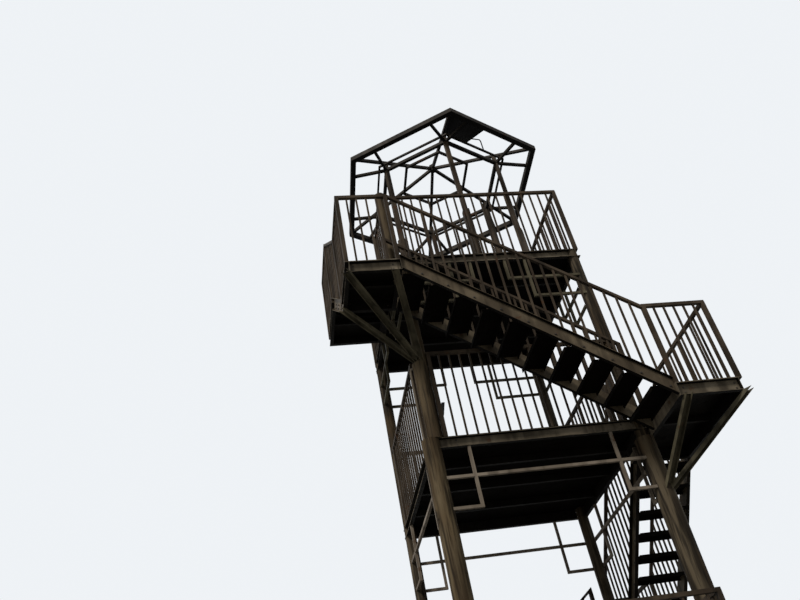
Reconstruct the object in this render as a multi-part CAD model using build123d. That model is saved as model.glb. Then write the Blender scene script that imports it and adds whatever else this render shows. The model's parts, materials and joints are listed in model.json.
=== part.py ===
from build123d import *
import math
import os

# Plan of the four columns, centre to centre, in millimetres
bay_width = 2400.0
bay_depth = 2310.0

# Stair rhythm: levels are counted in risers from the ground up
riser = 190.0
short_riser = 185.0
going = 260.0
steep_going = 206.0
short_going = 222.0
ground_risers = 11
back_risers = 6
right_risers = 10
front_risers = 10
short_risers = 4
threshold_step = 60.0

# Columns: thick at the foot, slimmer above the braces. The front left one is made of lengths
# that are spliced out of line with each other
front_foot_diameter = 219.0
left_foot_diameter = 200.0
left_upper_diameter = 178.0
left_upper_shift = 60.0
left_top_shift = 85.0
back_left_shift = 40.0
column_diameter = 140.0
column_head = 70.0
thick_top_below_brace = 24.0
thick_top_below_landing = 9.0
base_plate_size = 380.0
base_plate_thickness = 20.0
anchor_hole_diameter = 22.0
anchor_hole_pitch = 300.0

# Rolled sections and plates
beam_depth = 120.0
landing_beam_depth = 150.0
beam_flange = 50.0
beam_web = 6.0
joist_depth = 80.0
joist_width = 40.0
joist_count = 3
deck_plate = 6.0
deck_overhang = 77.0
deck_left_overhang = 25.0
stringer_depth = 160.0
stringer_rise = 66.0
stringer_flange = 45.0
stringer_web = 6.0
tread_plate = 5.0
tread_lip = 45.0
brace_depth = 80.0
brace_flange = 42.0
brace_web = 6.0
brace_drop = 670.0
brace_inset = 25.0
brace_side_inset = 75.0

# Reach of the landings and walkways outside the columns
flight_reach = 905.0
flight_clearance = 130.0
right_reach = 845.0
left_reach = 755.0
right_flight_width = 700.0
right_landing_back = 630.0
left_landing_edge = 123.0
left_landing_back = -145.0
walkway_length = 842.0
back_flight_width = 775.0
back_landing_side = 25.0
gallery_reach = 600.0
gallery_end = 160.0
ground_reach = 845.0

# Railings and lattice panels
deck_rail_height = 1110.0
landing_rail_height = 1040.0
flight_rail_height = 1030.0
rail_section = 40.0
post_section = 45.0
baluster_section = 20.0
baluster_pitch = 122.0
plain_baluster_pitch = 240.0
column_post_offset = 165.0
lattice_bar = 32.0
lattice_square = 343.0
lattice_post_offset = 390.0
top_lattice_drops = (300.0, 600.0)
top_lattice_offsets = (230.0, 500.0)

# Six-sided roof frame over the top deck, with one panel left on it
roof_shift_x = 50.0
roof_turn = -2.6
roof_radius = 1605.0
roof_eave_height = 2415.0
roof_hub_height = 2970.0
roof_bar = 42.0
eave_bar = 75.0
jack_bar = 40.0
jack_spacing = 345.0
hub_radius = 52.0
hub_length = 120.0
ring_radius = 1000.0
ring_bar = 48.0
ring_below_hips = 164.206
outer_ring_radius = 1125.0
outer_ring_bar = 28.0
outer_ring_notch = 4.0
inner_ring_radius = 566.0
inner_ring_bar = 35.0
roof_post_section = 60.0
roof_sleeve_section = 90.0
roof_sleeve_height = 1000.0
roof_panel_inner_radius = 1030.0
roof_panel_thickness = 4.0
roof_panel_share = 0.45

# Fit between pieces that are welded together on site; a cope is cut in straight facets
weld_gap = 0.3
cope_facets = 12

# The origin lies on the ground under the front left column
left = 0.0
right = bay_width
front = 0.0
back = bay_depth

lower_level = ground_risers * riser
back_landing_level = lower_level + back_risers * riser
right_landing_level = back_landing_level + right_risers * riser
middle_level = right_landing_level + threshold_step
left_landing_level = right_landing_level + front_risers * riser
top_level = left_landing_level + short_risers * short_riser

# Outer lines of the decks, landings and flights in plan
deck_left = left - deck_left_overhang
deck_right = right + deck_overhang
deck_front = front - deck_overhang
deck_back = back + deck_overhang
flight_front = front - flight_reach
flight_inner = front - flight_clearance
right_side = right + right_reach
left_side = left - left_reach
left_landing_x = left - left_landing_edge
right_landing_y = front + right_landing_back
left_landing_y = front + left_landing_back
back_landing_y = right_landing_y + right_risers * steep_going
back_side = back_landing_y + back_flight_width
back_landing_x = right - back_landing_side
back_flight_foot = back_landing_x - back_risers * going
walkway_y = left_landing_y + short_risers * short_going
walkway_back = walkway_y + walkway_length
gallery_front = front - gallery_reach
gallery_right = right - gallery_end
ground_side = left - ground_reach

# Heights that the braces and the column steps share
left_landing_bottom = left_landing_level - deck_plate - landing_beam_depth
right_landing_bottom = right_landing_level - deck_plate - landing_beam_depth
back_landing_bottom = back_landing_level - deck_plate - landing_beam_depth
lower_landing_bottom = lower_level - deck_plate - landing_beam_depth
left_node = left_landing_bottom - brace_drop
right_node = right_landing_bottom - brace_drop

# Each column: place in plan, then its lengths from the foot up, with the diameter, the shift
# to the right and the top of each
column_top = top_level - deck_plate
head_top = top_level + deck_rail_height + column_head
columns = {
    "front_left": (left, front, (
        (left_foot_diameter, 0.0, middle_level),
        (left_upper_diameter, left_upper_shift, left_node - thick_top_below_brace),
        (column_diameter, left_top_shift, column_top),
        (column_diameter, 0.0, head_top))),
    "front_right": (right, front, (
        (front_foot_diameter, 0.0, right_landing_bottom - thick_top_below_landing),
        (column_diameter, 0.0, column_top))),
    "back_left": (left + back_left_shift, back, ((column_diameter, 0.0, column_top),)),
    "back_right": (right, back, ((column_diameter, 0.0, column_top),)),
}


def save(solids, name):
    """Write one named piece, made of one or more solids."""
    if not isinstance(solids, (list, tuple)):
        solids = [solids]
    found = []
    for item in solids:
        found.extend(item.solids())
    shape = found[0] if len(found) == 1 else Compound(children=found)
    export_step(shape, os.path.join("parts", name + ".step"))


def block(x0, x1, y0, y1, z0, z1):
    """A box between two corners."""
    size = Box(x1 - x0, y1 - y0, z1 - z0)
    return Pos((x0 + x1) / 2, (y0 + y1) / 2, (z0 + z1) / 2) * size


def fuse(pieces):
    """Weld a list of solids into one."""
    whole = pieces[0]
    return whole.fuse(*pieces[1:]) if len(pieces) > 1 else whole


def bar(start, end, width, height, up=(0, 0, 1)):
    """A straight bar of rectangular section; its height is measured along up."""
    start = Vector(*start)
    end = Vector(*end)
    along = (end - start).normalized()
    side = along.cross(Vector(*up)).normalized()
    plane = Plane(origin=start, x_dir=side, z_dir=along)
    return extrude(plane * Rectangle(width, height), (end - start).length)


def channel(start, end, depth, toes):
    """A beam channel that runs along the back of its web, with its toes the way they point."""
    start = Vector(*start)
    end = Vector(*end)
    along = (end - start).normalized()
    plane = Plane(origin=start, x_dir=Vector(*toes), z_dir=along)
    half = depth / 2
    outline = Polyline(
        (0, -half), (beam_flange, -half), (beam_flange, beam_web - half),
        (beam_web, beam_web - half), (beam_web, half - beam_web),
        (beam_flange, half - beam_web), (beam_flange, half), (0, half), close=True)
    return extrude(plane * make_face(outline), (end - start).length)


def cope(shape, *names):
    """Cut the space of the named columns out of a piece, in flats that just clear the pipe."""
    for name in names:
        x, y, lengths = columns[name]
        bottom = 0.0
        for diameter, shift, top in lengths:
            outline = RegularPolygon(diameter / 2 + weld_gap, cope_facets, major_radius=False,
                                     rotation=180 / cope_facets)
            shape -= Pos(x + shift, y, bottom) * extrude(outline, top - bottom)
            bottom = top
    return shape


def axis(name, z):
    """Where the axis of a column stands in plan at a height."""
    x, y, lengths = columns[name]
    shift = next(shift for diameter, shift, top in lengths if z < top)
    return x + shift, y


def column(name):
    """A base plate with four anchor holes and the lengths of a column, one on another."""
    x, y, lengths = columns[name]
    half_plate = base_plate_size / 2
    plate = block(x - half_plate, x + half_plate, y - half_plate, y + half_plate, 0,
                  base_plate_thickness)
    half_pitch = anchor_hole_pitch / 2
    for dx in (-half_pitch, half_pitch):
        for dy in (-half_pitch, half_pitch):
            hole = Cylinder(anchor_hole_diameter / 2, base_plate_thickness)
            plate -= Pos(x + dx, y + dy, base_plate_thickness / 2) * hole
    solids = [plate]
    bottom = base_plate_thickness
    for diameter, shift, top in lengths:
        pipe = Cylinder(diameter / 2, top - bottom)
        solids.append(Pos(x + shift, y, (bottom + top) / 2) * pipe)
        bottom = top
    return solids


def edge_frame(x0, x1, y0, y1, level, depth, turned_edges, joists):
    """Perimeter channels and joists under a plate whose top is at level.

    The toes point outwards. Along the edges named in turned_edges the back of the channel
    lies against a neighbour instead.
    """
    top = level - deck_plate
    middle = top - depth / 2
    beams = []
    for name, x, toe in (("left", x0, -1), ("right", x1, 1)):
        web = x - toe * beam_flange
        if name in turned_edges:
            web = x
            toe = -toe
        beams.append(channel((web, y0, middle), (web, y1, middle), depth, (toe, 0, 0)))
    inner_x0 = x0 if "left" in turned_edges else x0 + beam_flange
    inner_x1 = x1 if "right" in turned_edges else x1 - beam_flange
    for name, y, toe in (("front", y0, -1), ("back", y1, 1)):
        web = y - toe * beam_flange
        if name in turned_edges:
            web = y
            toe = -toe
        beams.append(channel((inner_x0, web, middle), (inner_x1, web, middle), depth,
                             (0, toe, 0)))
    for index in range(1, joists + 1):
        y = y0 + (y1 - y0) * index / (joists + 1)
        beams.append(block(inner_x0, inner_x1, y - joist_width / 2, y + joist_width / 2,
                           top - joist_depth, top))
    return fuse(beams)


def deck(level):
    """Frame and plate of a deck that fills the bay between the columns."""
    frame = edge_frame(deck_left, deck_right, deck_front, deck_back, level, beam_depth, (),
                       joist_count)
    plate = block(deck_left, deck_right, deck_front, deck_back, level - deck_plate, level)
    return cope(frame, *columns), cope(plate, *columns)


def landing(x0, x1, y0, y1, level, turned_edges, depth=landing_beam_depth):
    """An outside landing: a frame of channels welded to its plate."""
    frame = edge_frame(x0, x1, y0, y1, level, depth, turned_edges, 1)
    return fuse([frame, block(x0, x1, y0, y1, level - deck_plate, level)])


def arm(start, end, level):
    """A short bar on edge under a landing's plate, between two points in plan."""
    z = level - deck_plate - joist_depth / 2
    return bar((*start, z), (*end, z), joist_width, joist_depth)


def flight(top_point, down, across, steps, rise, run, width, last_tread=True):
    """Stringers and treads of a straight flight that goes down from top_point.

    The stringers are channels with their toes outwards. The treads are folded plates between
    them, one rise below each other, and the last one lies level with the landing below.
    """
    start = Vector(*top_point)
    down = Vector(*down)
    across = Vector(*across)
    drop = steps * rise
    length = steps * run
    upright = stringer_depth * math.hypot(drop, length) / length
    low = stringer_rise - upright

    def at(along, over, z):
        point = start + down * along + across * over
        return (point.X, point.Y, start.Z + z)

    def sloped_strip(over, bottom, top, thickness, outward):
        corners = [at(0, over, bottom), at(0, over, top), at(length, over, top - drop),
                   at(length, over, bottom - drop)]
        return extrude(make_face(Polyline(*corners, close=True)), thickness, dir=outward)

    stringers = []
    for over, toe in ((stringer_flange, -1), (width - stringer_flange, 1)):
        outward = across * toe
        stringers.append(fuse([
            sloped_strip(over, low, stringer_rise, stringer_web, outward),
            sloped_strip(over, low, low + stringer_web, stringer_flange, outward),
            sloped_strip(over, stringer_rise - stringer_web, stringer_rise, stringer_flange,
                         outward)]))
    treads = []
    inset = stringer_flange + weld_gap
    for step in range(1, steps + 1 if last_tread else steps):
        z = -step * rise
        nosing = step * run
        heel = nosing - run
        corners = [at(heel, inset, z), at(nosing, inset, z), at(nosing, inset, z - tread_lip),
                   at(nosing - tread_plate, inset, z - tread_lip),
                   at(nosing - tread_plate, inset, z - tread_plate),
                   at(heel + tread_plate, inset, z - tread_plate),
                   at(heel + tread_plate, inset, z - tread_lip), at(heel, inset, z - tread_lip)]
        treads.append(extrude(make_face(Polyline(*corners, close=True)), width - 2 * inset,
                              dir=across))
    return stringers, treads


def railing(start, end, height, first_post=None, last_post=None, pitch=baluster_pitch):
    """A railing panel from start to end, level or sloped, with its balusters upright.

    first_post and last_post are the distances of the end posts' centres from the panel's
    ends; without one the rail butts a neighbour there.
    """
    start = Vector(*start)
    end = Vector(*end)
    flat = Vector(end.X - start.X, end.Y - start.Y, 0)
    length = flat.length
    along = flat.normalized()
    across = Vector(-along.Y, along.X, 0)
    slope = (end.Z - start.Z) / length

    def strip(near, far, low, high, width):
        corners = []
        for distance, lift in ((near, low), (far, low), (far, high), (near, high)):
            point = start + along * distance
            corners.append((point.X, point.Y, start.Z + slope * distance + lift))
        return extrude(make_face(Polyline(*corners, close=True)), width / 2, dir=across,
                       both=True)

    def upright(centre, section):
        return strip(centre - section / 2, centre + section / 2, 0, height - rail_section / 2,
                     section)

    pieces = [strip(0, length, height - rail_section, height, rail_section)]
    near = first_post or 0.0
    far = length - (last_post or 0.0)
    if first_post:
        pieces.append(upright(near, post_section))
    if last_post:
        pieces.append(upright(far, post_section))
    count = max(round((far - near) / pitch), 1)
    for index in range(1, count):
        pieces.append(upright(near + (far - near) * index / count, baluster_section))
    return fuse(pieces)


def flight_railing(top_point, down, across, steps, rise, run, offset, low_post, high_post,
                   pitch=baluster_pitch):
    """The railing that stands on a stringer, offset across from the flight's outer edge."""
    start = Vector(*top_point) + Vector(*across) * offset + Vector(0, 0, stringer_rise)
    end = start + Vector(*down) * (steps * run) - Vector(0, 0, steps * rise)
    return railing((start.X, start.Y, start.Z), (end.X, end.Y, end.Z),
                   flight_rail_height - stringer_rise, high_post, low_post, pitch)


def lattice_panel(start, end, top):
    """A frame of square bars that hangs from a beam: a long bar and two short ones below it."""
    start = Vector(*start)
    end = Vector(*end)
    along = (end - start).normalized()
    length = (end - start).length
    rows = (top - lattice_square, top - 2 * lattice_square)

    def at(distance, z):
        point = start + along * distance
        return (point.X, point.Y, z)

    pieces = [bar(at(0, rows[0]), at(length, rows[0]), lattice_bar, lattice_bar)]
    for post, edge in ((lattice_post_offset, 0), (length - lattice_post_offset, length)):
        pieces.append(bar(at(post, top), at(post, rows[1] - lattice_bar / 2), lattice_bar,
                          lattice_bar, up=along))
        pieces.append(bar(at(post, rows[1]), at(edge, rows[1]), lattice_bar, lattice_bar))
    return fuse(pieces)


def stepped_lattice(start, end, top):
    """Bars in two steps that hang from a beam and run out to each column, open in the middle."""
    start = Vector(*start)
    end = Vector(*end)
    along = (end - start).normalized()
    length = (end - start).length

    def at(distance, z):
        point = start + along * distance
        return (point.X, point.Y, z)

    halves = []
    for way, edge in ((-1, 0), (1, length)):
        pieces = []
        for offset, drop in zip(top_lattice_offsets, top_lattice_drops):
            post = length / 2 + way * offset
            row = top - drop
            pieces.append(bar(at(post, top), at(post, row - lattice_bar / 2), lattice_bar,
                              lattice_bar, up=along))
            pieces.append(bar(at(post, row), at(edge, row), lattice_bar, lattice_bar))
        halves.append(fuse(pieces))
    return halves


def hanging_lattice(level, make_panel):
    """The lattice panels under the four edge beams of a deck, coped to the columns."""
    inset = beam_flange / 2
    top = level - deck_plate - beam_depth
    sides = (
        ((left, deck_front + inset), (right, deck_front + inset), ("front_left", "front_right")),
        ((left, deck_back - inset), (right, deck_back - inset), ("back_left", "back_right")),
        ((deck_left + inset, front), (deck_left + inset, back), ("front_left", "back_left")),
        ((deck_right - inset, front), (deck_right - inset, back), ("front_right", "back_right")))
    panels = []
    for start, end, names in sides:
        made = make_panel((*start, 0), (*end, 0), top)
        for panel in made if isinstance(made, list) else [made]:
            panels.append(cope(panel, *names))
    return panels


def braces(column_name, node, targets, landing_bottom):
    """Channel braces that spring from a column and end flat under a landing."""
    x, y = axis(column_name, node)
    start = Vector(x, y, node)
    half = brace_depth / 2
    outline = Polyline(
        (-half, 0), (half, 0), (half, brace_flange), (half - brace_web, brace_flange),
        (half - brace_web, brace_web), (brace_web - half, brace_web),
        (brace_web - half, brace_flange), (-half, brace_flange), close=True)
    reach = 2 * (ground_reach + flight_reach)
    above = block(x - reach, x + reach, y - reach, y + reach, landing_bottom,
                  landing_bottom + reach)
    made = []
    for target in targets:
        end = Vector(target[0], target[1], landing_bottom)
        along = (end - start).normalized()
        side = along.cross(Vector(0, 0, 1)).normalized()
        plane = Plane(origin=start, x_dir=side, z_dir=along)
        length = (end - start).length + 2 * brace_depth
        made.append(extrude(plane * make_face(outline), length) - above)
    return cope(fuse(made), column_name)


def roof_point(radius, corner, z):
    """A point of the roof over one of its six corners, counted from the front."""
    angle = math.radians(60 * corner - 90 + roof_turn)
    return (bay_width / 2 + roof_shift_x + radius * math.cos(angle),
            bay_depth / 2 + radius * math.sin(angle), z)


def hexagon(radius, z, height):
    """A six-sided prism that stands on z."""
    corners = [roof_point(radius, corner, z) for corner in range(6)]
    return extrude(make_face(Polyline(*corners, close=True)), height, dir=(0, 0, 1))


def hexagon_ring(radius, section, z):
    """A mitred ring of square bar whose top is at z."""
    half = section / 2 / math.cos(math.radians(30))
    outer = hexagon(radius + half, z - section, section)
    return outer - hexagon(radius - half, z - section, section)


def roof_height(radius):
    """Height of the hip rafters' centre line at a distance from the middle."""
    return top_level + roof_hub_height - roof_fall * radius / roof_radius


def hip_rafter(corner, eave, hub):
    """A hip rafter from the hub down to a corner of the eave ring."""
    start = roof_point(0, corner, roof_height(0))
    end = roof_point(roof_radius, corner, roof_height(roof_radius))
    return bar(start, end, roof_bar, roof_bar) - eave - hub


def jack_rafters(corner, cuts):
    """The two jack rafters, almost level, from a post out to the eaves beside its corner."""
    start = Vector(*roof_point(ring_radius, corner, ring_middle))
    vertex = Vector(*roof_point(roof_radius, corner, eave_top - eave_bar / 2))
    pieces = []
    for neighbour in (corner - 1, corner + 1):
        other = Vector(*roof_point(roof_radius, neighbour, vertex.Z))
        end = vertex + (other - vertex).normalized() * jack_spacing
        pieces.append(bar((start.X, start.Y, start.Z), (end.X, end.Y, end.Z), jack_bar, jack_bar))
    pair = fuse(pieces)
    for cut in cuts:
        pair -= cut
    return pair


def roof_post(corner, top):
    """A square post on the top deck, in a wider sleeve up to the railing."""
    angle = 60 * corner + roof_turn
    x, y = roof_point(ring_radius, corner, 0)[:2]
    sleeve = Box(roof_sleeve_section, roof_sleeve_section, roof_sleeve_height)
    upper = Box(roof_post_section, roof_post_section, top - top_level)
    post = Pos(0, 0, roof_sleeve_height / 2) * sleeve + Pos(0, 0, (top - top_level) / 2) * upper
    return Pos(x, y, top_level) * Rot(0, 0, angle) * post


def roof_panel():
    """The one roof panel left: it lies on the front hip rafter and on the eave ring."""
    corners = []
    for radius, share in ((roof_panel_inner_radius, 0.0), (roof_radius, 0.0),
                          (roof_radius, roof_panel_share),
                          (roof_panel_inner_radius, roof_panel_share)):
        z = roof_height(radius) + eave_top - roof_height(roof_radius)
        start = Vector(*roof_point(radius, 0, z))
        end = Vector(*roof_point(radius, 1, z))
        point = start + (end - start) * share
        corners.append((point.X, point.Y, point.Z))
    return extrude(make_face(Polyline(*corners, close=True)), roof_panel_thickness,
                   dir=(0, 0, 1))


os.makedirs("parts", exist_ok=True)

for name in columns:
    save(column(name), name + "_column")

for name, level in (("lower", lower_level), ("middle", middle_level), ("top", top_level)):
    frame, plate = deck(level)
    save(frame, name + "_deck_frame")
    save(plate, name + "_deck_plate")

# Landings and walkways
save(landing(left_side, left_landing_x, flight_front, left_landing_y, left_landing_level,
             ("right",)), "left_landing")
save(landing(left_side, deck_left, walkway_y, walkway_back, top_level, ("right",), beam_depth),
     "top_walkway")
save(landing(deck_right, right_side, flight_front, right_landing_y, right_landing_level,
             ("left", "back")), "right_landing")
arm_x = right + joist_width / 2
back_arm = cope(arm((arm_x, back), (arm_x, back_landing_y), back_landing_level), "back_right")
save(fuse([landing(back_landing_x, right_side, back_landing_y, back_side, back_landing_level,
                   ("left", "front")), back_arm]), "back_landing")
save(landing(deck_left, back_flight_foot, deck_back, back_side, lower_level,
             ("front", "right")), "lower_back_landing")
save(cope(landing(ground_side, gallery_right, gallery_front, deck_front, lower_level,
                  ("back",)), "front_left", "front_right"), "lower_front_gallery")

# Flights: where each one starts, the way down and across, its steps and its width
flights = {
    "front_flight": ((left_landing_x, flight_front, left_landing_level), (1, 0, 0), (0, 1, 0),
                     front_risers, riser, going, flight_inner - flight_front),
    "right_flight": ((right_side, right_landing_y, right_landing_level), (0, 1, 0), (-1, 0, 0),
                     right_risers, riser, steep_going, right_flight_width),
    "back_flight": ((back_landing_x, back_side, back_landing_level), (-1, 0, 0), (0, -1, 0),
                    back_risers, riser, going, back_flight_width),
    "ground_flight": ((ground_side, deck_front, lower_level), (0, 1, 0), (1, 0, 0),
                      ground_risers, riser, going, right_flight_width),
    "short_flight": ((left_side, walkway_y, top_level), (0, -1, 0), (1, 0, 0), short_risers,
                     short_riser, short_going, left_landing_x - left_side),
}
below_ground = block(ground_side, left, front, 2 * bay_depth, -stringer_depth * 2, 0)
for name, values in flights.items():
    on_ground = name == "ground_flight"
    stringers, treads = flight(*values, last_tread=not on_ground)
    if on_ground:
        stringers = [stringer - below_ground for stringer in stringers]
    save(stringers, name + "_stringers")
    save(treads, name + "_treads")

# Braces under the landings
save(braces("front_left", left_node,
            ((left_landing_x - brace_side_inset, flight_front + brace_inset),
             (left_side + brace_inset, flight_front + brace_inset),
             (left_side + brace_inset, left_landing_y - brace_side_inset)),
            left_landing_bottom), "left_landing_braces")
save(braces("front_right", right_node,
            ((deck_right + brace_side_inset, flight_front + brace_inset),
             (right_side - brace_inset, flight_front + brace_inset),
             (right_side - brace_inset, front)), right_landing_bottom), "right_landing_braces")
save(braces("back_right", back_landing_bottom - brace_drop,
            ((back_landing_x + brace_side_inset, back_side - brace_inset),
             (right_side - brace_inset, back_side - brace_inset)), back_landing_bottom),
     "back_landing_braces")
save(braces("back_left", lower_landing_bottom - brace_drop,
            ((left, back_side - brace_inset),
             (back_flight_foot - brace_side_inset, back_side - brace_inset)),
            lower_landing_bottom), "lower_landing_braces")
gallery_node = lower_landing_bottom - brace_drop
save([braces("front_left", gallery_node, ((ground_side + brace_inset, gallery_front + brace_inset),
                                          (left, gallery_front + brace_inset)),
             lower_landing_bottom),
      braces("front_right", gallery_node,
             ((gallery_right - brace_side_inset, gallery_front + brace_inset),),
             lower_landing_bottom)], "gallery_braces")

save(hanging_lattice(middle_level, lattice_panel), "middle_lattice")
save(hanging_lattice(top_level, stepped_lattice), "top_lattice")

# Railings stand half a post inside the edges; past a corner post the next panel butts on it
inset = post_section / 2
butt = post_section + weld_gap
at_column = column_post_offset
left_line = deck_left + inset
right_line = deck_right - inset
front_line = deck_front + inset
back_line = deck_back - inset


def panel(start, end, level, height, first_post=None, last_post=None, pitch=baluster_pitch):
    """A level railing panel between two points in plan."""
    return railing((*start, level), (*end, level), height, first_post, last_post, pitch)


# On the middle deck the first posts stand free beside the spliced column
beside_x = left + at_column - inset
beside_y = front + at_column - inset
middle = (middle_level, deck_rail_height)
save([
    cope(panel((beside_x, front_line), (right, front_line), *middle, inset, at_column),
         "front_left", "front_right"),
    cope(panel((left_line, beside_y), (left_line, back), *middle, inset, at_column),
         "front_left", "back_left"),
    cope(panel((left, back_line), (right, back_line), *middle, at_column, at_column),
         "back_left", "back_right"),
    cope(panel((right_line, right_landing_y), (right_line, back), *middle, inset, at_column),
         "back_right"),
], "middle_deck_railings")

top = (top_level, deck_rail_height)
save([
    cope(panel((left, front_line), (deck_right, front_line), *top, at_column, inset),
         "front_left"),
    panel((right_line, deck_front + butt), (right_line, deck_back), *top, None, inset),
    panel((deck_right - butt, back_line), (deck_left, back_line), *top, None, inset),
    panel((left_line, deck_back - butt), (left_line, walkway_back), *top, None, inset),
    cope(panel((left_line, walkway_y), (left_line, front), *top, inset, at_column),
         "front_left"),
], "top_deck_railings")

lower = (lower_level, deck_rail_height)
save([
    cope(panel((left_line, front), (left_line, back), *lower, at_column, at_column,
               plain_baluster_pitch),
         "front_left", "back_left"),
    cope(panel((right_line, front), (right_line, back), *lower, at_column, at_column,
               plain_baluster_pitch),
         "front_right", "back_right"),
    cope(panel((back_flight_foot, back_line), (right, back_line), *lower, inset, at_column,
               plain_baluster_pitch),
         "back_right"),
], "lower_deck_railings")

on_right = (right_landing_level, landing_rail_height)
save([
    panel((deck_right, flight_front + inset), (right_side, flight_front + inset), *on_right,
          inset, inset),
    panel((right_side - inset, flight_front + butt), (right_side - inset, right_landing_y),
          *on_right, None, inset),
], "right_landing_railings")

on_left = (left_landing_level, landing_rail_height)
save([
    panel((left_landing_x, flight_front + inset), (left_side, flight_front + inset), *on_left,
          inset, inset),
    panel((left_side + inset, flight_front + butt), (left_side + inset, left_landing_y),
          *on_left, None, inset),
], "left_landing_railings")

on_walkway = (top_level, landing_rail_height)
save([
    panel((left_side + inset, walkway_y), (left_side + inset, walkway_back), *on_walkway,
          inset, inset),
    panel((left_side + butt, walkway_back - inset), (deck_left, walkway_back - inset),
          *on_walkway, None, inset),
    flight_railing(*flights["short_flight"][:6], inset, None, None),
], "walkway_railings")

on_back = (back_landing_level, landing_rail_height)
save([
    panel((right_side - inset, back_landing_y), (right_side - inset, back_side), *on_back,
          inset, inset),
    panel((right_side - butt, back_side - inset), (back_landing_x, back_side - inset),
          *on_back, None, inset),
], "back_landing_railings")

on_lower = (lower_level, landing_rail_height)
save([
    panel((deck_left + inset, deck_back), (deck_left + inset, back_side), *on_lower, inset,
          inset, plain_baluster_pitch),
    panel((deck_left + butt, back_side - inset), (back_flight_foot, back_side - inset),
          *on_lower, None, inset, plain_baluster_pitch),
    panel((back_flight_foot - inset, deck_back), (back_flight_foot - inset, back_landing_y),
          *on_lower, inset, inset, plain_baluster_pitch),
], "lower_landing_railings")

save([
    panel((ground_side, gallery_front + inset), (gallery_right, gallery_front + inset),
          *on_lower, inset, inset),
    panel((gallery_right - inset, gallery_front + butt), (gallery_right - inset, deck_front),
          *on_lower, None, inset),
    panel((ground_side + inset, gallery_front + butt), (ground_side + inset, deck_front),
          *on_lower, None, inset),
], "gallery_railings")

# Flight railings: the outer one butts the landings' posts, the inner one has its own
for name in ("front_flight", "right_flight", "back_flight", "ground_flight"):
    values = flights[name]
    width = values[6]
    on_ground = name == "ground_flight"
    foot_post = inset if on_ground else None
    pitch = plain_baluster_pitch if on_ground else baluster_pitch
    save([flight_railing(*values[:6], inset, foot_post, None, pitch),
          flight_railing(*values[:6], width - inset, inset, inset, pitch)], name + "_railings")

# Roof frame: the eave ring's top carries the panel, which also clears the hip rafters' edges
roof_fall = roof_hub_height - roof_eave_height
half_hip = roof_bar / 2 * math.hypot(1, roof_fall / roof_radius)
hip_clearance = roof_bar / 2 * roof_fall / roof_radius * math.tan(math.radians(30))
eave_top = roof_height(roof_radius) + half_hip + hip_clearance
hub_top = roof_height(0) + hub_length / 2
hub = hexagon(hub_radius, hub_top - hub_length, hub_length)
eave = hexagon_ring(roof_radius, eave_bar, eave_top)
post_top = roof_height(ring_radius + roof_post_section / 2) - half_hip
posts = [roof_post(corner, post_top) for corner in range(6)]
ring_middle = roof_height(ring_radius) - ring_below_hips
ring_beam = hexagon_ring(ring_radius, ring_bar, ring_middle + ring_bar / 2)

# The thin ring lies in notches across the jack rafters
ring_share = (outer_ring_radius - ring_radius) / (roof_radius - ring_radius)
jack_top = ring_middle + (eave_top - eave_bar / 2 - ring_middle) * ring_share + jack_bar / 2
outer_ring = hexagon_ring(outer_ring_radius, outer_ring_bar,
                          jack_top - outer_ring_notch + outer_ring_bar)

# The inner ring hangs under the hip rafters, touching them with its outer corners
inner_corner = inner_ring_radius + inner_ring_bar / 2 / math.cos(math.radians(30))
inner_ring = hexagon_ring(inner_ring_radius, inner_ring_bar,
                          roof_height(inner_corner) - half_hip)

rafters = [hub]
for corner in range(6):
    rafters.append(hip_rafter(corner, eave, hub))
    rafters.append(jack_rafters(corner, [eave, ring_beam, outer_ring, posts[corner]]))
for post in posts:
    ring_beam -= post
save(eave, "roof_eave_ring")
save(rafters, "roof_rafters")
save(ring_beam, "roof_ring_beam")
save(outer_ring, "roof_outer_ring")
save(inner_ring, "roof_inner_ring")
save(posts, "roof_posts")
save(roof_panel(), "roof_panel")
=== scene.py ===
# %% [markdown]
# # The looks of an open steel observation tower
# The tower's steelwork comes ready made, at its real size, with the origin on the ground under
# its front left column. This lesson adds what a maker sees from close by: old brown paint that
# has faded and stained, spots of rust, bolts, weld beads and small fittings. The frame is loaded
# first, because every later step takes its places from it.

# %% Load the steelwork
import json
import math

import bpy
from mathutils import Matrix, Vector


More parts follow.
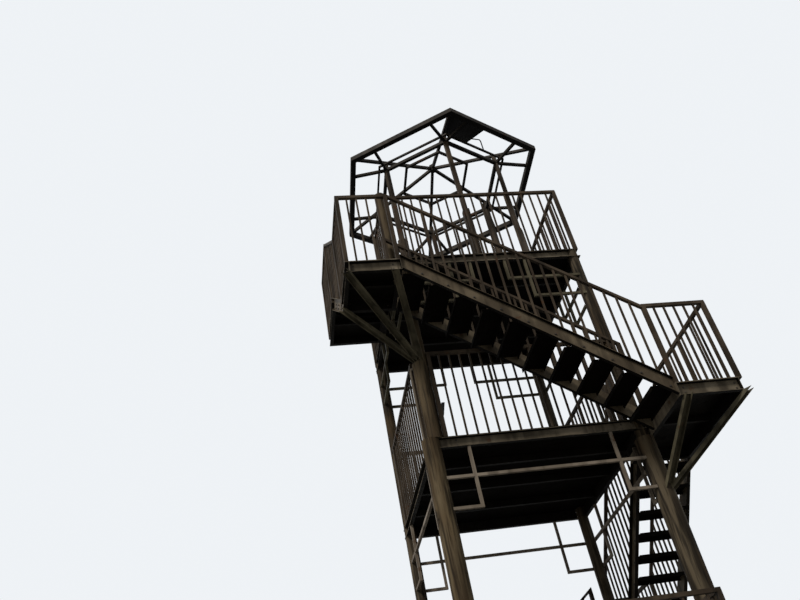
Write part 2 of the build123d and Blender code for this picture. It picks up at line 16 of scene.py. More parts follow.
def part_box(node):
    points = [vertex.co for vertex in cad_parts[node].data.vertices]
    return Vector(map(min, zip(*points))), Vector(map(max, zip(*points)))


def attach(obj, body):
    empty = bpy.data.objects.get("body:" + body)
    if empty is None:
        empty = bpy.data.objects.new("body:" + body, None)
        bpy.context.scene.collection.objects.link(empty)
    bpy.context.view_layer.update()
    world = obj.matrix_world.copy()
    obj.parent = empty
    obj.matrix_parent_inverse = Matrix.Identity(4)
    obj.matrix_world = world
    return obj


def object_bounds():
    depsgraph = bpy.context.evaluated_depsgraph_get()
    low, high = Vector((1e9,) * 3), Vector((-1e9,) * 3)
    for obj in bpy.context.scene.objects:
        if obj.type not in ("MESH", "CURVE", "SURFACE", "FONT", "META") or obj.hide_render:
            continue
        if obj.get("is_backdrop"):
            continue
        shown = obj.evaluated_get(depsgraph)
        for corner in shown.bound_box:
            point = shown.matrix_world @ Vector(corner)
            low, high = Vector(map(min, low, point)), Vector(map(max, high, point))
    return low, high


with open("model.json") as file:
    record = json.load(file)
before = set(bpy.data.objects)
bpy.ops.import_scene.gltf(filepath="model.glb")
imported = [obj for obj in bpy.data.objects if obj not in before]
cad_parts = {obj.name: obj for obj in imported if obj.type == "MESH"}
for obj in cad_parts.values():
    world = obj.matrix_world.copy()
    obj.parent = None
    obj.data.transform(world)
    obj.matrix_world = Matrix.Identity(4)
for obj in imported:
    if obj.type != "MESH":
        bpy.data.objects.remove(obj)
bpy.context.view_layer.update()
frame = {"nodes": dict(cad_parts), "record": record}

nodes = frame["nodes"]

# %% [markdown]
# ## Where the viewer stands
# The tower is seen from eye height, close to its foot, with the camera tilted steeply up and a
# little to one side. A camera could be aimed with a Track To constraint, but that can't lean
# sideways, so three plain turns are multiplied here: heading, tilt and lean.

# %% Camera
image_width = 800
focal_pixels = 799.2
heading = math.radians(13.391)
tilt = math.radians(37.4)
lean = math.radians(-11.746)
stand_point = Vector((-1.809, -7.557, 1.206))

camera_data = bpy.data.cameras.new("viewer")
camera_data.sensor_width = 36.0
camera_data.lens = camera_data.sensor_width * focal_pixels / image_width
camera = bpy.data.objects.new("viewer", camera_data)
bpy.context.scene.collection.objects.link(camera)
turned = (Matrix.Rotation(-heading, 4, "Z") @ Matrix.Rotation(math.pi / 2 + tilt, 4, "X")
          @ Matrix.Rotation(lean, 4, "Z"))
camera.matrix_world = Matrix.Translation(stand_point) @ turned
bpy.context.scene.camera = camera
print("lens:", round(camera_data.lens, 2), "mm")

# %% [markdown]
# ## Maths on materials
# A material is a web of nodes. Written out one by one they are hard to read, so two small classes
# do the wiring: `Wire` is one output that Python's own operators work on, and `Finish` is a
# material that makes nodes. An expression such as `1 - rust * 0.5` then adds its own Math nodes.

# %% Wires and finishes
class Wire:
    """One output of a node, which can be added, multiplied and so on."""

    def __init__(self, finish, socket):
        self.finish = finish
        self.socket = socket

    def maths(self, operation, first, second):
        return self.finish.node("ShaderNodeMath", {"operation": operation}, {0: first, 1: second})

    def __add__(self, other):
        return self.maths("ADD", self, other)

    def __mul__(self, other):
        return self.maths("MULTIPLY", self, other)

    def __sub__(self, other):
        return self.maths("SUBTRACT", self, other)

    def __rsub__(self, other):
        return self.maths("SUBTRACT", other, self)

    def least(self, other):
        return self.maths("MINIMUM", self, other)

    def most(self, other):
        return self.maths("MAXIMUM", self, other)

    __radd__ = __add__
    __rmul__ = __mul__


class Finish:
    """A material with one principled shader, and a method that adds any node."""

    def __init__(self, name, roughness, shine=0.2):
        self.material = bpy.data.materials.new(name)
        self.material.use_nodes = True
        self.tree = self.material.node_tree
        self.shader = self.tree.nodes["Principled BSDF"]
        self.shader.inputs["Roughness"].default_value = roughness
        self.shader.inputs["Specular IOR Level"].default_value = shine
        self.place = self.node("ShaderNodeTexCoord", output="Object")

    def node(self, kind, settings=None, inputs=None, output=0):
        made = self.tree.nodes.new(kind)
        for key, value in (settings or {}).items():
            setattr(made, key, value)
        for key, value in (inputs or {}).items():
            if isinstance(value, Wire):
                self.tree.links.new(value.socket, made.inputs[key])
            else:
                made.inputs[key].default_value = value
        return Wire(self, made.outputs[output])

    def noise(self, scale, detail=4, stretch=(1, 1, 1)):
        """Cloudy grey noise on the object's own coordinates, stretched where asked."""
        place = self.node("ShaderNodeMapping", None, {0: self.place, 3: stretch})
        return self.node("ShaderNodeTexNoise", None, {"Vector": place, "Scale": scale,
                                                      "Detail": detail})

    def mask(self, wire, low, high):
        """0 below low and 1 above high, with a soft step between."""
        settings = {"interpolation_type": "SMOOTHSTEP"}
        return self.node("ShaderNodeMapRange", settings, {0: wire, 1: low, 2: high})

    def part(self, vector, axis):
        """One of the three numbers of a vector."""
        return self.node("ShaderNodeSeparateXYZ", None, {0: vector}, output=axis)

    def shade_and_soot_mask(self, where):
        """1 where shade and soot are painted: all but the top, below, or inside a box."""
        facing = self.node("ShaderNodeNewGeometry", output="Normal")
        up = self.part(facing, "Z")
        if where == "all but the top":
            return 1 - self.mask(up, 0.3, 0.6)
        below = self.mask(0 - up, 0.25, 0.80)
        if where == "below":
            return below
        low, high = where
        middle = (low + high) / 2
        x = self.part(self.place, "X")
        y = self.part(self.place, "Y")
        from_rim = (x - low.x).least(high.x - x).least((y - low.y).least(high.y - y))
        inside = self.mask(from_rim, WEB_PLACE - 0.003, WEB_PLACE - 0.001)
        inwards = (self.part(facing, "X") * (middle.x - x)
                   + self.part(facing, "Y") * (middle.y - y))
        shade_and_soot_faces = below.most(inside).most(self.mask(inwards, 0.05, 0.10))
        return shade_and_soot_faces * (1 - self.mask(up, 0.5, 0.9))

    def blend(self, factor, first, second):
        """One colour turning into another as the factor goes from 0 to 1."""
        inputs = {0: factor}
        for index, color in ((6, first), (7, second)):
            inputs[index] = color if isinstance(color, Wire) else (*color, 1)
        return self.node("ShaderNodeMix", {"data_type": "RGBA"}, inputs, output=2)

    def chequer(self):
        """Small raised lozenges, as on a steel floor plate."""
        ridges = []
        for turn in (1, -1):
            place = self.node("ShaderNodeMapping", None, {0: self.place, 3: (1, turn, 0)})
            ridges.append(self.node("ShaderNodeTexWave", {"bands_direction": "DIAGONAL"},
                                    {"Vector": place, "Scale": 9.0, "Distortion": 0.0}, output=1))
        return self.mask(ridges[0] * ridges[1], 0.55, 0.75)

    def link(self, wire, name):
        self.tree.links.new(wire.socket, self.shader.inputs[name])

    def bump(self, height, strength, distance):
        self.link(self.node("ShaderNodeBump", None, {"Strength": strength, "Distance": distance,
                                                     "Height": height}), "Normal")


print("helpers ready")

# %% [markdown]
# ## Old brown paint
# The beams, stairs and railings wear a brown paint that years of sun have turned to a dull taupe.
# Up close there are three layers: broad clouds of fading, thin streaks where rain ran down, and
# rust that breaks through in small spots. Each layer is one noise with its own size, so the same
# recipe gives every finish. Under the decks and inside their edges the steel is painted nearly
# black: this is painted shade, with some soot. A lamp can't be told to leave a face out, so the
# shade is mixed into the colour by the way the face looks.

# %% The paint recipe
RUST = (0.050, 0.022, 0.010)
SHADE_AND_SOOT = (0.0018, 0.0013, 0.0010)
WEB_PLACE = 0.050
SHADE_AND_SOOT_SHARE = 0.96


def old_paint(name, faded, fresh, grime, rust_share, roughness=0.62, shine=0.05,
              shade_and_soot_on=None, chequered=False):
    """Faded paint with rain streaks, grime and spots of rust, and painted shade, with some soot,
    on the faces it is asked to darken.
    """
    finish = Finish(name, roughness, shine)
    clouds = finish.mask(finish.noise(2.6, 6), 0.38, 0.66)
    streaks = finish.mask(finish.noise(9.0, 5, (1, 1, 0.12)), 0.45, 0.68)
    specks = finish.mask(finish.noise(38.0, 3), 0.70 - 0.10 * rust_share, 0.78)
    patches = finish.mask(finish.noise(5.5, 7), 0.66 - 0.12 * rust_share, 0.74)
    rust = finish.mask(specks * 0.6 + patches, 0.35, 0.85)
    color = finish.blend(clouds, fresh, faded)
    color = finish.blend(streaks * 0.6, color, grime)
    color = finish.blend(rust * rust_share, color, RUST)
    # Painted shade, with some soot: faces that look down or inwards are mixed towards near black.
    if shade_and_soot_on:
        color = finish.blend(finish.shade_and_soot_mask(shade_and_soot_on) * SHADE_AND_SOOT_SHARE, color, SHADE_AND_SOOT)
    finish.link(color, "Base Color")
    finish.link(roughness + rust * 0.25 - clouds * 0.08, "Roughness")
    grit = finish.noise(160.0, 3)
    relief = grit * 0.4 + rust * 0.6 - streaks * 0.2
    if chequered:
        relief = relief + finish.chequer() * 2.0
    finish.bump(relief, 0.35, 0.002)
    return finish.material


def frame_paint(node):
    """The paint of a deck's or a landing's frame, with painted shade and soot inside its own
    edges.
    """
    return old_paint(node + "_paint", (0.140, 0.115, 0.082), (0.064, 0.052, 0.036),
                     (0.012, 0.009, 0.006), 0.55, shade_and_soot_on=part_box(node), chequered=True)


# Painted shade, with some soot, on the stairs' faces that look down.
stair_paint = old_paint("stair_paint", (0.108, 0.085, 0.056), (0.050, 0.038, 0.025),
                        (0.012, 0.009, 0.006), 0.60, shade_and_soot_on="below")
brace_paint = old_paint("brace_paint", (0.084, 0.072, 0.046), (0.044, 0.038, 0.024),
                        (0.011, 0.009, 0.006), 0.50)
lattice_paint = old_paint("lattice_paint", (0.170, 0.140, 0.108), (0.105, 0.085, 0.064),
                          (0.030, 0.023, 0.017), 0.70)
railing_paint = old_paint("railing_paint", (0.050, 0.037, 0.025), (0.025, 0.018, 0.012),
                          (0.009, 0.007, 0.005), 0.60)
# Painted shade, with some soot, on the roof frame's faces that look down.
roof_paint = old_paint("roof_paint", (0.032, 0.026, 0.020), (0.016, 0.013, 0.010),
                       (0.006, 0.005, 0.004), 0.80, shade_and_soot_on="below")
# Painted shade, with some soot, on every face of the plates and treads but the top.
plate_paint = old_paint("plate_paint", (0.052, 0.043, 0.033), (0.026, 0.021, 0.016),
                        (0.010, 0.008, 0.006), 0.80, roughness=0.80, shine=0.02,
                        shade_and_soot_on="all but the top", chequered=True)
tread_paint = old_paint("tread_paint", (0.060, 0.049, 0.037), (0.030, 0.024, 0.018),
                        (0.011, 0.009, 0.007), 0.80, roughness=0.80, shine=0.02,
                        shade_and_soot_on="all but the top", chequered=True)
# Painted shade, with some soot, on every face of the panels but the top.
panel_paint = old_paint("panel_paint", (0.034, 0.030, 0.026), (0.018, 0.016, 0.014),
                        (0.008, 0.007, 0.006), 0.40, roughness=0.75, shade_and_soot_on="all but the top")
bolt_finish = old_paint("bolt_finish", (0.034, 0.027, 0.021), (0.018, 0.014, 0.011),
                        (0.007, 0.005, 0.004), 0.90, roughness=0.55, shine=0.2)
pipe_paint = old_paint("pipe_paint", (0.120, 0.098, 0.072), (0.080, 0.064, 0.046),
                       (0.030, 0.023, 0.017), 0.40)
lamp_finish = old_paint("lamp_finish", (0.010, 0.010, 0.011), (0.006, 0.006, 0.007),
                        (0.004, 0.004, 0.004), 0.15, roughness=0.45, shine=0.2)
print("paints:", len(bpy.data.materials))

# %% [markdown]
# ## Columns painted as tree trunks
# The round columns are steel pipes, but their paint imitates wood: long dark fissures run up
# them, between ochre and brown bands, with a few knots. The fissures come from noise that is
# squeezed across and stretched along the column, and the knots from a Voronoi pattern with large,
# rare cells.

# %% Trunk finish
OCHRE = (0.075, 0.046, 0.020)
ABOVE_ALL = 99.0
SPLICE_LEVEL = 5.19


def trunk(name, pale, warm, dark, knots, shaded_above=ABOVE_ALL):
    """Wood-like paint for an upright pipe, with shade painted darker above some height."""
    finish = Finish(name, 0.75, 0.06)
    bands = finish.mask(finish.noise(8.0, 5, (1, 1, 0.10)), 0.40, 0.60)
    fissures = finish.mask(finish.noise(24.0, 4, (1, 1, 0.06)), 0.50, 0.64)
    cracks = finish.mask(finish.noise(60.0, 3, (1, 1, 0.05)), 0.54, 0.66)
    ochre = finish.mask(finish.noise(3.2, 4, (1, 1, 0.35)), 0.50, 0.72)
    place = finish.node("ShaderNodeMapping", None, {0: finish.place, 3: (1, 1, 0.55)})
    cells = finish.node("ShaderNodeTexVoronoi", None, {"Vector": place, "Scale": 3.1})
    knot = 1 - finish.mask(cells, 0.10, 0.24)
    rings = finish.mask(finish.noise(60.0, 2, (1, 1, 0.5)), 0.4, 0.6)
    height = finish.part(finish.place, "Z")
    # Painted shade: above the given height, as under the landing, the paint is mixed halfway to
    # the warm brown.
    landing_shade = finish.mask(height, shaded_above, shaded_above + 0.02)
    color = finish.blend(bands, warm, pale)
    color = finish.blend(ochre * 0.45, color, OCHRE)
    color = finish.blend(landing_shade * 0.5, color, warm)
    color = finish.blend(fissures * 0.75, color, dark)
    color = finish.blend(cracks * 0.5, color, dark)
    color = finish.blend(knot * knots * (0.6 + rings * 0.4), color, dark)
    finish.link(color, "Base Color")
    finish.bump(1 - fissures * 0.8 - knot * 0.5 * knots + bands * 0.2, 0.6, 0.006)
    return finish.material


front_trunk = trunk("front_trunk", (0.088, 0.066, 0.038), (0.032, 0.022, 0.012),
                    (0.007, 0.005, 0.003), 1.0, shaded_above=SPLICE_LEVEL)
# The right and back columns take darker copies of the same wood paint: the extra darkness is
# painted shade.
shaded_side_trunk = trunk("shaded_side_trunk", (0.064, 0.050, 0.032), (0.016, 0.012, 0.008),
                   (0.003, 0.0025, 0.002), 0.6)
shaded_back_trunk = trunk("shaded_back_trunk", (0.062, 0.048, 0.031), (0.022, 0.016, 0.010),
                   (0.005, 0.004, 0.003), 0.5)
print("trunk finishes ready")

# %% [markdown]
# ## Dressing the steelwork
# Every steel piece names the slot of its finish, and a table from slot to material dresses most
# of them. Two pieces look like another slot. The frames of decks and landings each get a paint of
# their own, because the painted shade and soot inside their edges is found from their own box.

# %% Give each piece its finish
finishes = {
    "column_front_left": front_trunk,
    "column_front_right": shaded_side_trunk,
    "column_back": shaded_back_trunk,
    "deck_plate": plate_paint,
    "stringer": stair_paint,
    "tread": tread_paint,
    "brace": brace_paint,
    "lattice": lattice_paint,
    "railing": railing_paint,
    "roof_frame": roof_paint,
    "roof_panel": panel_paint,
}
like = {"roof_posts": "railing", "top_lattice": "brace"}
for row in frame["record"]["subparts"]:
    mesh = nodes[row["node"]].data
    mesh.materials.clear()
    slot = like.get(row["node"], row["material_slot"])
    mesh.materials.append(finishes[slot] if slot in finishes else frame_paint(row["node"]))

# %% [markdown]
# ## Modelling small fittings
# Small fittings are modelled as one would by hand: a primitive is added at its size and place,
# and then its faces are pushed and pulled in edit mode. Code has no mouse, so faces and edges are
# picked by where their corners lie. One helper opens a new primitive for editing, one picks, one
# closes the piece again with its finish, one copies a finished piece to many places and joins the
# copies, and one works out a place from a point and a direction.

# %% Helpers for modelling
import bmesh


def open_piece(name):
    """Name the primitive that was just added, move its place into its mesh, and open it."""
    piece = bpy.context.object
    piece.name = name
    bpy.ops.object.transform_apply(location=True, rotation=True, scale=True)
    bpy.ops.object.mode_set(mode="EDIT")
    return piece


def pick(kind, test):
    """Select only the edges or faces whose corners all pass a test."""
    bpy.ops.mesh.select_mode(type=kind)
    bpy.ops.mesh.select_all(action="DESELECT")
    mesh = bmesh.from_edit_mesh(bpy.context.object.data)
    for part in mesh.edges if kind == "EDGE" else mesh.faces:
        if all(test(corner.co) for corner in part.verts):
            part.select_set(True)
    mesh.select_flush_mode()
    bmesh.update_edit_mesh(bpy.context.object.data)


def close_piece(piece, material):
    """Turn all faces outwards, leave edit mode and give the piece its finish."""
    bpy.ops.mesh.select_all(action="SELECT")
    bpy.ops.mesh.normals_make_consistent(inside=False)
    bpy.ops.object.mode_set(mode="OBJECT")
    bpy.ops.object.shade_smooth_by_angle(angle=math.radians(35))
    piece.data.materials.append(material)
    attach(piece, "root")
    bpy.ops.object.select_all(action="DESELECT")


def copy_to(master, name, places):
    """Copy a finished piece to each place and join the copies into one piece."""
    bpy.ops.object.select_all(action="DESELECT")
    for place in places:
        copy = master.copy()
        copy.data = master.data.copy()
        copy.matrix_world = place
        bpy.context.scene.collection.objects.link(copy)
        copy.select_set(True)
    copy.name = name
    bpy.context.view_layer.objects.active = copy
    bpy.ops.object.join()
    bpy.ops.object.transform_apply(location=True, rotation=True, scale=True)
    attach(copy, "root")
    bpy.ops.object.select_all(action="DESELECT")


def facing(point, direction):
    """A place at a point, with the copy's top turned towards a direction."""
    turn = Vector(direction).to_track_quat("Z", "Y").to_matrix().to_4x4()
    return Matrix.Translation(point) @ turn


bpy.ops.object.select_all(action="DESELECT")
print("helpers for modelling ready")

# %% [markdown]
# ## One bolt
# Bolts hold the landings' beams and the steps. Each is a hexagon head on a washer. The head could
# be cut from a round bar, but a six-sided cylinder is already a hexagon: its top face is inset
# and lifted a little, which makes the chamfer, and the washer's rim is bevelled. There are
# hundreds, so the shape stays small.

# %% Bolt
head_across = 0.019
head_height = 0.008
washer_radius = 0.013
washer_height = 0.003
hair = 0.0001

bpy.ops.mesh.primitive_cylinder_add(vertices=6, radius=head_across / math.sqrt(3),
                                    depth=head_height,
                                    location=(0, 0, washer_height + head_height / 2))
bolt = open_piece("bolt")
head_top = washer_height + head_height
pick("FACE", lambda point: point.z > head_top - hair)
bpy.ops.mesh.inset(thickness=0.0018, depth=0.0012)
bpy.ops.mesh.primitive_cylinder_add(vertices=10, radius=washer_radius, depth=washer_height,
                                    location=(0, 0, washer_height / 2))
pick("EDGE", lambda point: abs(point.z - washer_height) < hair
     and point.xy.length > washer_radius * 0.9)
bpy.ops.mesh.bevel(offset=0.0008, segments=1)
close_piece(bolt, bolt_finish)
print("faces of a bolt:", len(bolt.data.polygons))

# %% [markdown]
# ## Bolts on the beams
# The landings and decks are framed with channels whose open side looks outwards, so a bolt's head
# sits deep between the flanges, on the web. Two pairs hold each beam, near its ends. Their places
# come from the boxes of the steel pieces, moved in by the flange's width.

# %% Bolts along the frames
flange = 0.050
plate = 0.006
pair_half = 0.030
outward = {"left": (0, -1), "right": (0, 1), "front": (1, -1), "back": (1, 1)}
bolted_frames = {
    "left_landing": (("left", "front", "back"), 0.09),
    "right_landing": (("right", "front"), 0.09),
    "back_landing": (("right", "back"), 0.09),
    "lower_back_landing": (("left", "back"), 0.09),
    "lower_front_gallery": (("left", "right", "front"), 0.09),
    "top_walkway": (("left", "front", "back"), 0.09),
    "lower_deck_frame": (("left", "right", "back"), 0.30),
    "middle_deck_frame": (("left", "right", "front", "back"), 0.30),
    "top_deck_frame": (("left", "right", "front", "back"), 0.30),
}
count = 0
for node, (sides, from_end) in bolted_frames.items():
    low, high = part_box(node)
    top = high.z if node.endswith("frame") else high.z - plate
    middle = (low.z + top) / 2
    places = []
    for side in sides:
        across, way = outward[side]
        along = 1 - across
        web = (low if way < 0 else high)[across] - way * flange
        direction = [0, 0, 0]
        direction[across] = way
        for distance in (low[along] + from_end, high[along] - from_end):
            for lift in (-pair_half, pair_half):
                point = [0, 0, middle + lift]
                point[across] = web
                point[along] = distance
                places.append(facing(point, direction))
    copy_to(bolt, node + "_bolts", places)
    count += len(places)
print("bolts on the frames:", count)

# %% [markdown]
# ## Bolts along the stairs
# Each tread hangs between two stringers on four bolts. The treads' own box gives their rise and
# going: the height and length are divided by the number of steps. The bolts sit towards each
# step's front edge, where the stringer covers its end.

# %% Bolts at the treads
tread_lip = 0.045
stringer_web = 0.006
past_middle = (0.012, 0.085)
flights = {
    "front_flight": (10, 0, 1),
    "right_flight": (10, 1, 1),
    "back_flight": (6, 0, -1),
    "ground_flight": (10, 1, 1),
    "short_flight": (4, 1, -1),
}
for name, (steps, along, way) in flights.items():
    low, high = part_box(name + "_treads")
    across = 1 - along
    going = (high[along] - low[along]) / steps
    rise = (high.z - low.z - tread_lip) / (steps - 1)
    start = (low if way > 0 else high)[along]
    places = []
    for step in range(steps):
        for edge, side in ((low[across], -1), (high[across], 1)):
            direction = [0, 0, 0]
            direction[across] = side
            for shift in past_middle:
                point = [0, 0, high.z - step * rise - tread_lip / 2]
                point[across] = edge + side * stringer_web
                point[along] = start + way * ((step + 0.5) * going + shift)
                places.append(facing(point, direction))
    copy_to(bolt, name + "_bolts", places)
    print(name, "rise", round(rise, 3), "going", round(going, 3), "bolts", len(places))
bpy.data.objects.remove(bolt)

# %% [markdown]
# ## Anchor bolts of the columns
# Each column stands on a base plate that four anchor bolts hold to the ground, with a nut on a
# threaded rod that sticks up a little. A thread would be lost at this size, so the rod stays
# plain, and its tip is chamfered: the top face is inset and lifted.

# %% Anchor bolts
rod_radius = 0.010
rod_height = 0.060
nut_radius = 0.0185
nut_height = 0.016
wide_washer = 0.024
bpy.ops.mesh.primitive_cylinder_add(vertices=10, radius=rod_radius, depth=rod_height,
                                    location=(0, 0, rod_height / 2))
anchor = open_piece("anchor")
pick("FACE", lambda point: point.z > rod_height - hair)
bpy.ops.mesh.inset(thickness=0.002, depth=0.002)
bpy.ops.mesh.primitive_cylinder_add(vertices=6, radius=nut_radius, depth=nut_height,
                                    location=(0, 0, washer_height + nut_height / 2))
nut_top = washer_height + nut_height
pick("FACE", lambda point: abs(point.z - nut_top) < hair)
bpy.ops.mesh.inset(thickness=0.002, depth=0.001)
bpy.ops.mesh.primitive_cylinder_add(vertices=12, radius=wide_washer, depth=washer_height,
                                    location=(0, 0, washer_height / 2))
close_piece(anchor, bolt_finish)

anchor_spread = 0.150
base_top = 0.020
places = []
columns = {"front_left": 0.100, "front_right": 0.1095, "back_left": 0.070, "back_right": 0.070}
centres = {}
for name in columns:
    low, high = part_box(name + "_column")
    centres[name] = Vector(((low.x + high.x) / 2, (low.y + high.y) / 2, 0))
    for dx in (-anchor_spread, anchor_spread):
        for dy in (-anchor_spread, anchor_spread):
            places.append(Matrix.Translation(centres[name] + Vector((dx, dy, base_top))))
copy_to(anchor, "anchor_bolts", places)
bpy.data.objects.remove(anchor)
print("anchor bolts:", len(places))

# %% [markdown]
# ## Ribs on the base plates
# Between the anchor bolts, ribs stiffen the joint of plate and pipe. Such a rib is cut from flat
# bar with a sloped outer edge. Here it is a flat block whose outer top edge is moved inwards,
# sunk a little into the pipe as a weld would hold it.

# %% Ribs
rib_length = 0.080
rib_height = 0.120
rib_thickness = 0.010
rib_sunk = 0.002
bpy.ops.mesh.primitive_cube_add(size=1, location=(rib_length / 2, 0, rib_height / 2),
                                scale=(rib_length, rib_thickness, rib_height))
rib = open_piece("rib")
pick("EDGE", lambda point: point.z > rib_height - 0.001 and point.x > rib_length - 0.001)
bpy.ops.transform.translate(value=(-rib_length * 0.8, 0, 0))
pick("EDGE", lambda point: point.x > rib_length * 0.15)
bpy.ops.mesh.bevel(offset=0.0015, segments=1)
close_piece(rib, brace_paint)

places = []
for name, radius in columns.items():
    for quarter in range(4):
        turn = Matrix.Rotation(quarter * math.pi / 2, 4, "Z")
        outwards = turn @ Vector((radius - rib_sunk, 0, base_top))
        places.append(Matrix.Translation(centres[name] + outwards) @ turn)
copy_to(rib, "base_ribs", places)
bpy.data.objects.remove(rib)
print("ribs:", len(places))

# %% [markdown]
# ## Weld beads
# Where pipes meet pipes or plates, a bead of weld runs round the joint. A torus gives the ring.
# Its points are shaken by a small seeded amount, which gives the uneven ripple of a bead laid by
# hand. Each bead is set by its column, its shift to the side, the pipe's radius and the height.

# %% Beads round the columns
bead_size = 0.007
trunk_finishes = {"front_left": front_trunk, "front_right": shaded_side_trunk, "back_left": shaded_back_trunk,
                  "back_right": shaded_back_trunk}
lower_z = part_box("lower_deck_frame")[0].z
middle_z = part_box("middle_deck_frame")[0].z
top_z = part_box("top_deck_frame")[0].z
splice_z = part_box("middle_deck_plate")[1].z
node_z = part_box("left_landing_braces")[0].z
beads = [("front_left", 0.0, 0.100, lower_z), ("front_left", 0.060, 0.089, splice_z),
         ("front_left", 0.085, 0.070, top_z)]
beads += [("front_right", 0.0, 0.1095, lower_z)]
beads += [("front_right", 0.0, 0.070, level) for level in (middle_z, top_z)]
beads += [(name, 0.0, 0.070, level) for name in ("back_left", "back_right")
          for level in (lower_z, middle_z, top_z)]
for number, (name, shift, radius, level) in enumerate(beads):
    place = centres[name] + Vector((shift, 0, level))
    bpy.ops.mesh.primitive_torus_add(location=place, major_radius=radius + 0.001,
                                     minor_radius=bead_size, major_segments=36,
                                     minor_segments=5)
    bead = open_piece(f"{name}_weld_{number}")
    bpy.ops.mesh.select_all(action="SELECT")
    bpy.ops.transform.vertex_random(offset=0.0015, seed=number + 1)
    close_piece(bead, trunk_finishes[name])
print("weld beads:", len(beads))

# %% [markdown]
# ## Cap of the front left column
# This column ends above the top railing, so its open pipe is closed by a domed cap. A short
# cylinder's rim is bevelled in several steps, which rounds it off.

# %% Cap
cap_radius = 0.073
cap_height = 0.030
column_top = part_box("front_left_column")[1].z
bpy.ops.mesh.primitive_cylinder_add(vertices=32, radius=cap_radius, depth=cap_height,
                                    location=(0, 0, column_top))
cap = open_piece("column_cap")
cap_top = column_top + cap_height / 2
pick("FACE", lambda point: point.z > cap_top - hair)
bpy.ops.mesh.bevel(offset=0.012, segments=4)
close_piece(cap, railing_paint)
print("cap at", round(cap_top, 3), "m")

# %% [markdown]
# ## Collars on the roof posts
# Each roof post stands in a wider square sleeve up to the railing. A sloped collar closes the
# step between them, so that rain runs off: a flat block round the post, whose top is scaled in.

# %% Collars
sleeve_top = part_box("top_deck_plate")[1].z + 1.0
sleeve_size = 0.090
post_size = 0.060
roof_turn = math.radians(-2.6)
ring_radius = 1.0
ring_low, ring_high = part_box("roof_ring_beam")
roof_centre = (ring_low + ring_high) / 2
collar_height = 0.022
bpy.ops.mesh.primitive_cube_add(size=1, location=(0, 0, sleeve_top + collar_height / 2),
                                scale=(sleeve_size, sleeve_size, collar_height))
collar = open_piece("collar")
pick("FACE", lambda point: point.z > sleeve_top + collar_height - hair)
collar_taper = post_size / sleeve_size + 0.04
bpy.ops.transform.resize(value=(collar_taper, collar_taper, 1))
pick("EDGE", lambda point: point.z < sleeve_top + hair)
bpy.ops.mesh.bevel(offset=0.003, segments=1)
close_piece(collar, roof_paint)
places = []
for corner in range(6):
    angle = corner * math.pi / 3 - math.pi / 2 + roof_turn
    spot = Vector((roof_centre.x + ring_radius * math.cos(angle),
                   roof_centre.y + ring_radius * math.sin(angle), 0))
    places.append(Matrix.Translation(spot) @ Matrix.Rotation(angle, 4, "Z"))
copy_to(collar, "roof_post_collars", places)
bpy.data.objects.remove(collar)
print("collars:", len(places))

# %% [markdown]
# ## A lamp beside the front left column
# A small dark lamp hangs on the first post of the middle deck's front railing. It is a block with
# its front leaned back, an inset for the glass pushed in, and a strap that holds it to the post.

# %% Lamp
post_face = 0.1875
lamp_left = post_face + 0.006
rail_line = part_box("middle_deck_plate")[0].y + 0.0225
lamp_width = 0.038
lamp_depth = 0.055
lamp_height = 0.140
lamp_z = 5.540
bpy.ops.mesh.primitive_cube_add(size=1, location=(lamp_left + lamp_width / 2, rail_line, lamp_z),
                                scale=(lamp_width, lamp_depth, lamp_height))
lamp_box = open_piece("lamp_box")
lamp_front = rail_line - lamp_depth / 2
pick("EDGE", lambda point: point.x > lamp_left + lamp_width - 0.001 and point.z < lamp_z)
bpy.ops.transform.translate(value=(-lamp_width * 0.8, 0, 0))
pick("EDGE", lambda point: point.y < lamp_front + 0.001 and point.z < lamp_z)
bpy.ops.transform.translate(value=(0, 0.030, 0))
pick("FACE", lambda point: point.y < lamp_front + 0.031 and point.x > lamp_left - 0.001
     and not (point.z < lamp_z and point.y > lamp_front + 0.0305))
bpy.ops.mesh.inset(thickness=0.007, depth=0)
bpy.ops.mesh.inset(thickness=0.002, depth=-0.006)
strap_rise = 0.035
bpy.ops.mesh.primitive_cube_add(size=1, scale=(0.010, 0.030, 0.030),
                                location=(post_face + 0.003, rail_line, lamp_z + strap_rise))
bpy.ops.mesh.bevel(offset=0.002, segments=1)
close_piece(lamp_box, lamp_finish)
print("lamp at", round(lamp_z, 2), "m")

# %% [markdown]
# ## Bent pipes
# Two thin pipes hang on the steelwork: one runs up beside the spliced column, from the step in
# the column to the braces, and one bends down from the roof's only panel to the rings below it.
# Each is swept the same way: a disc is pulled to the bend, spun round it, and pulled on to the
# end. The spin operator turns clockwise about its axis, so the angle is negative here.

# %% Bent pipes
def bent_pipe(name, start, corner, end, radius, bend, material):
    """A round pipe from start to end that turns at a corner with a given bend radius."""
    first = (corner - start).normalized()
    second = (end - corner).normalized()
    turn = first.angle(second)
    reach = bend * math.tan(turn / 2)
    inwards = (second - first * first.dot(second)).normalized()
    bpy.ops.mesh.primitive_circle_add(vertices=10, radius=radius, fill_type="NGON",
                                      location=start,
                                      rotation=first.to_track_quat("Z", "Y").to_euler())
    pipe = open_piece(name)
    bpy.ops.mesh.select_all(action="SELECT")
    bend_start = corner - first * reach
    bpy.ops.mesh.extrude_region_move(TRANSFORM_OT_translate={"value": bend_start - start})
    bpy.ops.mesh.spin(steps=6, angle=-turn, center=bend_start + inwards * bend,
                      axis=first.cross(inwards))
    last = end - corner - second * reach
    bpy.ops.mesh.extrude_region_move(TRANSFORM_OT_translate={"value": last})
    close_piece(pipe, material)
    print(name, "turns", round(math.degrees(turn)), "degrees")


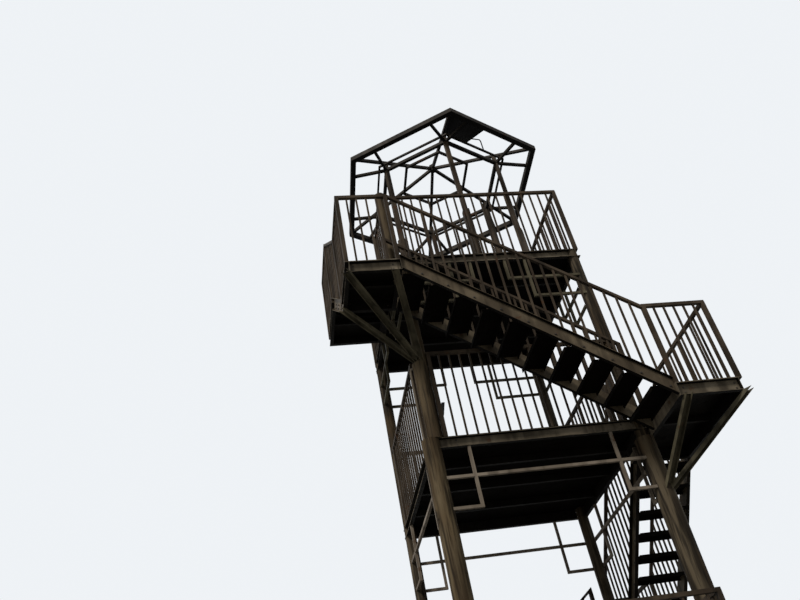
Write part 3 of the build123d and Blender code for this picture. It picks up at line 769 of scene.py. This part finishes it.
pipe_x = -0.062
pipe_top = node_z - 0.054
pipe_reach = 0.052
bent_pipe("slim_pipe", Vector((pipe_x, 0, splice_z - 0.004)), Vector((pipe_x, 0, pipe_top)),
          Vector((pipe_x + pipe_reach, 0, pipe_top)), 0.013, 0.050, pipe_paint)

thin_ring_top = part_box("roof_outer_ring")[1].z
bent_pipe("roof_conduit", Vector((1.641, 0.216, 10.358)), Vector((1.801, 0.254, 10.370)),
          Vector((1.852, 0.362, thin_ring_top - 0.002)), 0.009, 0.045, bolt_finish)

# %% [markdown]
# ## Studio
# A pale floor, a pale surround, a soft sun from the front left and a weaker one from behind keep
# the colours as they were written. The world shows its pale colour only to the camera and in
# reflections, and lights the tower more softly.

# %% Floor, surround and lamps
floor_in_light = (0.22, 0.22, 0.21)
floor_as_seen = (0.46, 0.46, 0.455)
surround_in_light = (0.95, 0.98, 1.0, 1)
surround_as_seen = (0.86, 0.89, 0.92, 1)
surround_strength = 0.60

bpy.ops.object.select_all(action="DESELECT")
bpy.ops.mesh.primitive_plane_add(size=60, location=(0, 0, -0.001))
floor = bpy.context.object
floor.name = "floor"
floor_finish = Finish("pale_floor", 0.9)
path = floor_finish.node("ShaderNodeLightPath", output="Is Camera Ray")
floor_finish.link(floor_finish.blend(path, floor_in_light, floor_as_seen), "Base Color")
floor.data.materials.append(floor_finish.material)
floor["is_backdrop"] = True

world = bpy.data.worlds.new("studio")
bpy.context.scene.world = world
world.use_nodes = True
tree = world.node_tree
tree.nodes.clear()
soft = tree.nodes.new("ShaderNodeBackground")
soft.inputs["Color"].default_value = surround_in_light
soft.inputs["Strength"].default_value = surround_strength
shown = tree.nodes.new("ShaderNodeBackground")
shown.inputs["Color"].default_value = surround_as_seen
path = tree.nodes.new("ShaderNodeLightPath")
either = tree.nodes.new("ShaderNodeMath")
either.operation = "MAXIMUM"
mixed = tree.nodes.new("ShaderNodeMixShader")
out = tree.nodes.new("ShaderNodeOutputWorld")
tree.links.new(path.outputs["Is Camera Ray"], either.inputs[0])
tree.links.new(path.outputs["Is Glossy Ray"], either.inputs[1])
tree.links.new(either.outputs[0], mixed.inputs[0])
tree.links.new(soft.outputs[0], mixed.inputs[1])
tree.links.new(shown.outputs[0], mixed.inputs[2])
tree.links.new(mixed.outputs[0], out.inputs[0])

suns = {
    "soft_sun": (3.5, (1.0, 0.96, 0.90), 47, -52),
    "back_fill": (1.8, (0.95, 0.97, 1.0), 60, 160),
}
for name, (energy, color, tilt_down, turn) in suns.items():
    lamp_data = bpy.data.lights.new(name, "SUN")
    lamp_data.energy = energy
    lamp_data.angle = math.radians(12)
    lamp_data.color = color
    lamp = bpy.data.objects.new(name, lamp_data)
    lamp.rotation_euler = (math.radians(tilt_down), 0, math.radians(turn))
    bpy.context.scene.collection.objects.link(lamp)
bpy.context.scene.view_settings.view_transform = "Standard"
print("studio ready")

# %% [markdown]
# ## Measuring the result
# The dressed tower is measured: its box is found over all shown pieces but the floor, and its
# height is printed.

# %% Sizes
low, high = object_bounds()
print("dressed tower:", round(high.z, 2), "m high")
